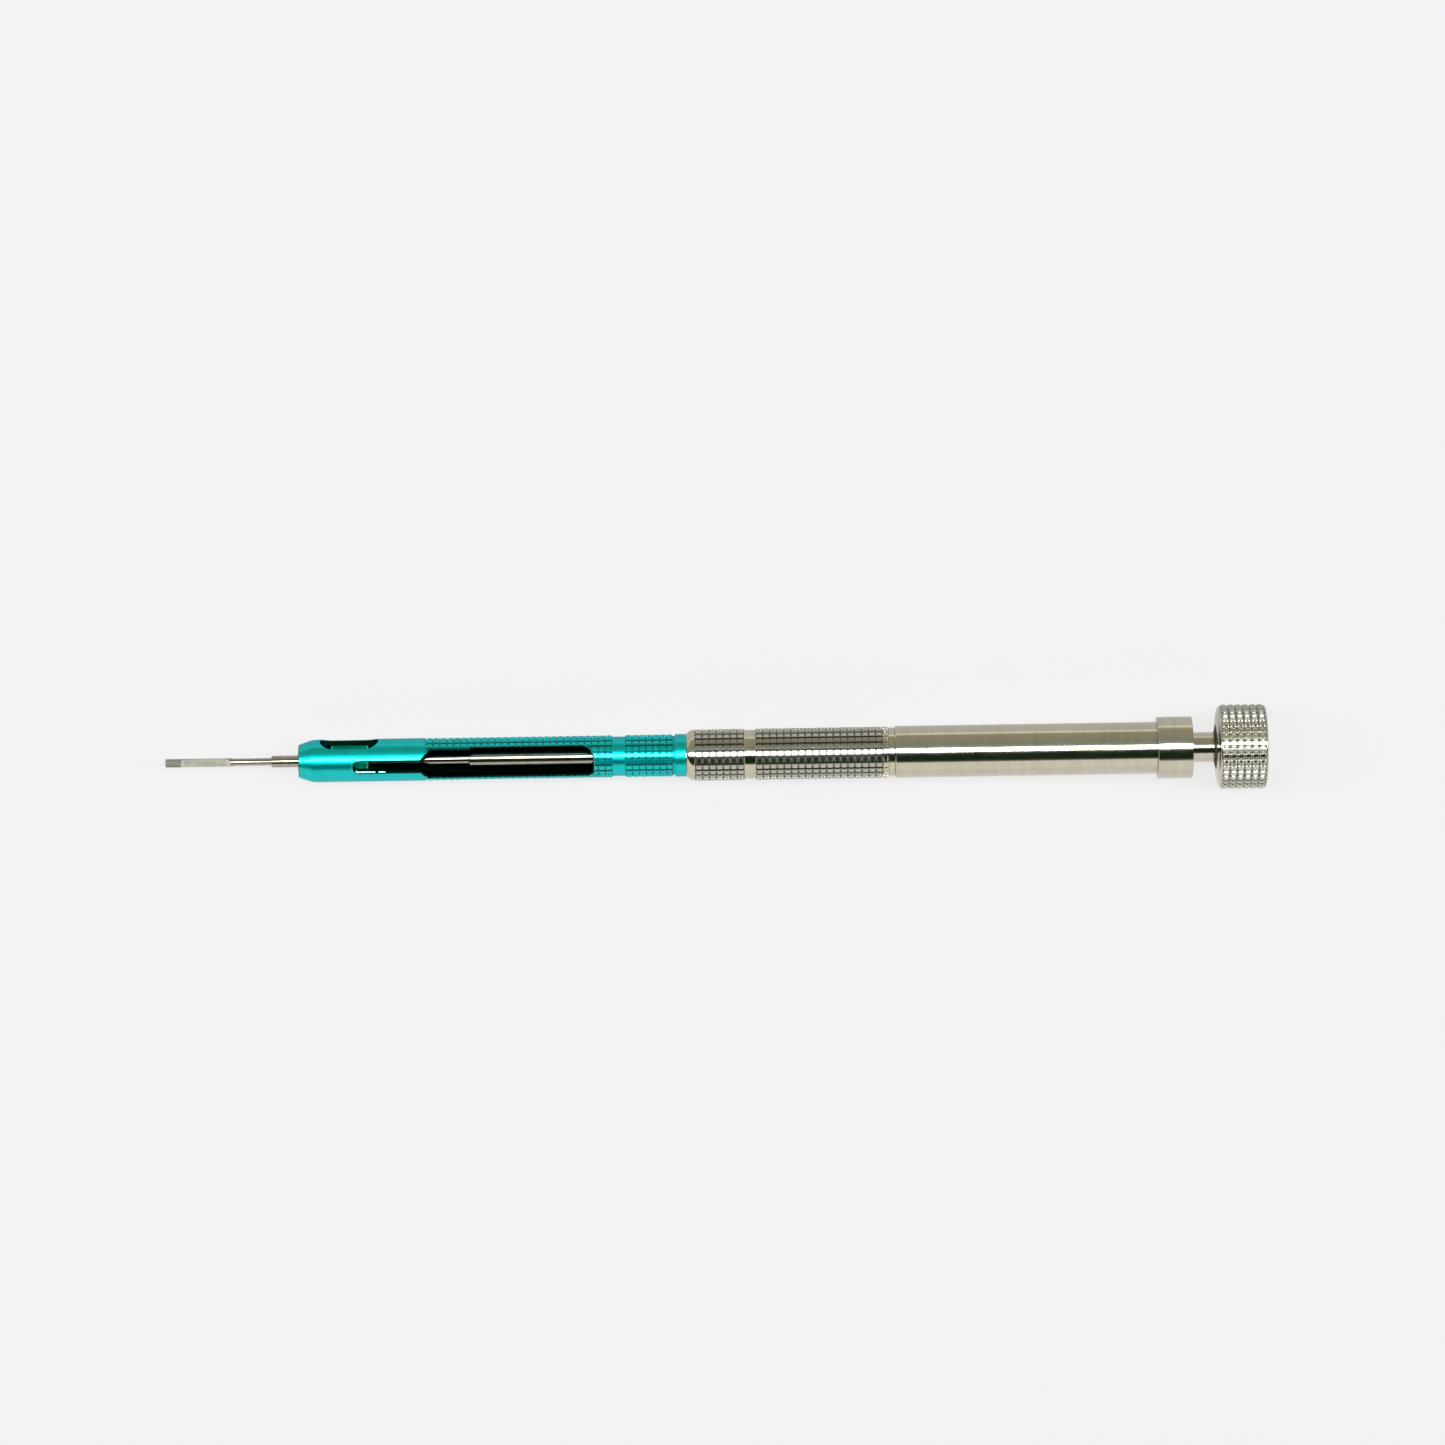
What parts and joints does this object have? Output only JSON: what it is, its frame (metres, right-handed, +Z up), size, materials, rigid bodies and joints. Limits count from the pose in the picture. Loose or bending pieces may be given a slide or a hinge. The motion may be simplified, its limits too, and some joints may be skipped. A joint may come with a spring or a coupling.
{
  "type": "screw-driven plunger handpiece",
  "caption": "Slim knurled hand tool: turning the rear knob drives a stepped rod with a scooped flat tip through a windowed anodised barrel.",
  "frame": {"origin": "on the tool's axis, halfway between the tip and the knob's rear face, with the rod nearly fully advanced", "axes": "+X along the tool from the tip to the knob, +Z up through the keyhole window's side with the tool lying down, +Y across"},
  "size_m": [0.1654, 0.0126, 0.0126],
  "materials": {
    "teal_anodising": "bright teal anodising",
    "turned_steel": "fine turned",
    "polished_steel": "polished",
    "bronze": "machined",
    "black_rubber": "matte",
    "white_plastic": "machined"
  },
  "bodies": {
    "handle": {"nose_barrel": "teal_anodising", "nose_guide_bush": "teal_anodising", "barrel_adapter": "turned_steel", "rod_guide_bush": "bronze", "barrel_joint_ring": "black_rubber", "grip_sleeve": "turned_steel", "rear_tube": "turned_steel", "tube_joint_ring": "turned_steel", "lead_nut": "bronze", "nut_spacer": "bronze", "end_collar": "turned_steel", "collar_wiper_ring": "black_rubber"},
    "push_rod": {"driver_tip": "polished_steel", "push_rod": "polished_steel", "rod_carriage": "bronze", "guide_key": "polished_steel", "rod_lock_pin": "polished_steel", "carriage_cap": "bronze"},
    "knob_screw": {"lead_screw": "turned_steel", "front_thrust_washer": "white_plastic", "rear_thrust_washer": "white_plastic", "swivel_clip": "polished_steel", "knob": "turned_steel", "knob_lock_pin": "polished_steel"}
  },
  "joints": [
    {"name": "rod_slide", "type": "slide", "parent": "handle", "child": "push_rod", "axis": [1, 0, 0], "range_m": [-0.003, 0.054]},
    {"name": "knob_turn", "type": "hinge", "parent": "push_rod", "child": "knob_screw", "pos_m": [0.0786, 0, 0], "axis": [1, 0, 0], "range_deg": [-270, 4860]}
  ],
  "couplings": [
    {"joint": "rod_slide", "follows": "knob_turn", "m_per_rad": 0.00063662}
  ]
}
